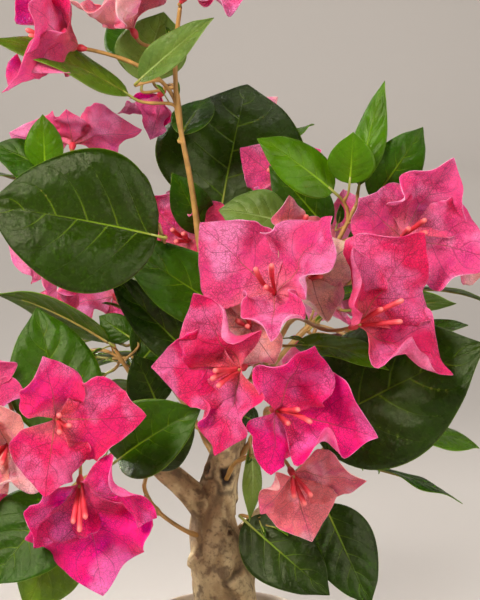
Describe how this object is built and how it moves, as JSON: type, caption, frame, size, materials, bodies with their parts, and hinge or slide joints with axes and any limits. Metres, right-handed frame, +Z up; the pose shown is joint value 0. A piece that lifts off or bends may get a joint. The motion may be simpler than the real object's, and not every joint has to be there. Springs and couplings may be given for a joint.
{
  "type": "artificial bougainvillea plant in a pot",
  "caption": "Artificial bougainvillea bush in a small round pot: a gnarled moulded trunk with tapering boughs, broad green leaves and papery pink and salmon three-bract blooms.",
  "frame": {"origin": "middle of the pot's flat underside", "axes": "+Z up along the plant, -Y towards the front as pictured, +X to the right as seen from the front"},
  "size_m": [0.3417, 0.2713, 0.4846],
  "materials": {
    "pot": "cream satin glaze",
    "fill": "dry tan grit",
    "bark": "moulded bark, tan with dark blotches and pale cream streaks",
    "foliage": "coated fabric leaves with a soft sheen and pressed veins",
    "blossom": "thin papery cloth printed with fine dark veins",
    "twig": "golden brown moulded stems"
  },
  "bodies": {
    "root": {"pot": "pot", "pot_fill": "fill", "trunk": "bark", "bough_left": "bark", "bough_right": "bark", "bough_back": "bark", "spray_low_left": "foliage", "spray_mid_left": "foliage", "spray_side_left": "foliage", "spray_high_left": "foliage", "spray_far_left": "foliage", "spray_top": "foliage", "spray_top_back": "foliage", "spray_centre": "foliage", "spray_low_centre": "foliage", "spray_high_right": "foliage", "spray_low_right": "foliage", "spray_low_front": "foliage", "spray_far_right": "foliage", "spray_back_left": "foliage", "spray_back_right": "foliage", "spray_back": "foliage"}
  },
  "joints": []
}
